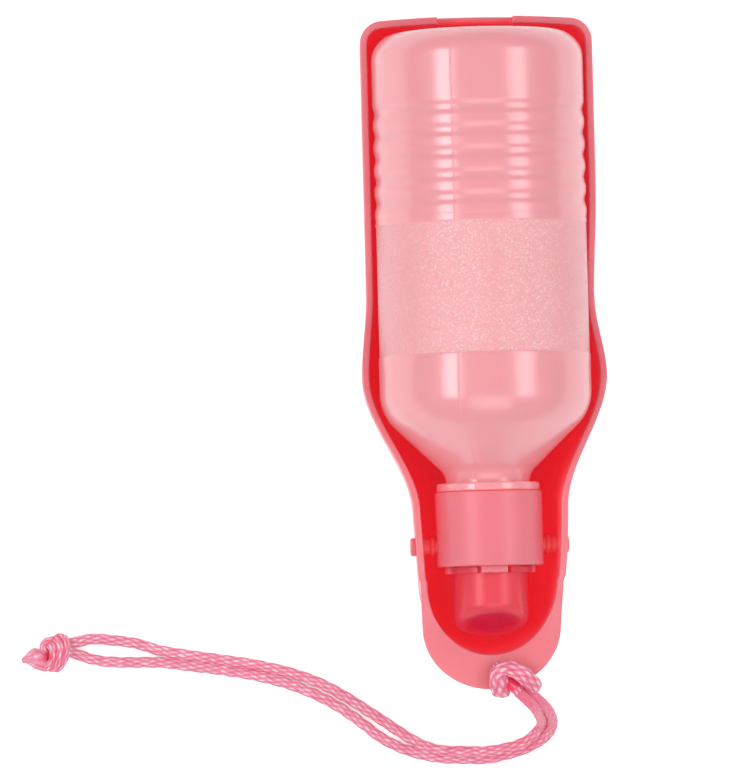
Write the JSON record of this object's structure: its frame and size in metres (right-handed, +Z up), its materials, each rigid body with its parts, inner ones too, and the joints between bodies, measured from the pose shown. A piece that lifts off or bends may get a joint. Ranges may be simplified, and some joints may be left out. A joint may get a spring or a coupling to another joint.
{
  "type": "dog travel water bottle",
  "caption": "Squeeze water bottle for dogs, folded into its own drinking trough, with a hinged screw collar, clear outlet cap, cord hitched through the lip and finger notch.",
  "frame": {"origin": "centre of the trough's flat bottom, on the surface it stands on", "axes": "+Y along the bottle to the trough's wide end, +Z up, +X to the right seen from the narrow end looking along +Y; stored folded shut, as in the picture"},
  "size_m": [0.1693, 0.2153, 0.064],
  "materials": {
    "trough_plastic": "satin",
    "bottle_plastic": "satin translucent",
    "collar_plastic": "satin",
    "clear_plastic": "clear, lightly frosted",
    "seal_rubber": "matte",
    "cord_fabric": "braided"
  },
  "bodies": {
    "trough": {"trough": "trough_plastic", "cord_strand_1": "cord_fabric", "cord_strand_2": "cord_fabric", "hitch_knot": "cord_fabric", "end_knot": "cord_fabric"},
    "collar": {"hinge_collar": "collar_plastic", "spout": "collar_plastic"},
    "washer": {"seal_washer": "seal_rubber"},
    "bottle": {"bottle": "bottle_plastic"},
    "cap": {"outlet_cap": "clear_plastic"}
  },
  "joints": [
    {"name": "bottle_swing", "type": "hinge", "parent": "trough", "child": "collar", "pos_m": [0, -0.0557, 0.0335], "axis": [1, 0, 0], "range_deg": [0, 133]},
    {"name": "bottle_unscrew", "type": "hinge", "parent": "collar", "child": "washer", "pos_m": [0, -0.0557, 0.0335], "axis": [0, 1, 0], "range_deg": [0, 150]},
    {"name": "thread_travel", "type": "slide", "parent": "washer", "child": "bottle", "axis": [0, 1, 0], "range_m": [0, 0.0018]},
    {"name": "cap_pull", "type": "slide", "parent": "collar", "child": "cap", "axis": [0, -1, 0], "range_m": [0, 0.002]}
  ],
  "couplings": [
    {"joint": "thread_travel", "follows": "bottle_unscrew", "m_per_rad": 0.0006737}
  ]
}
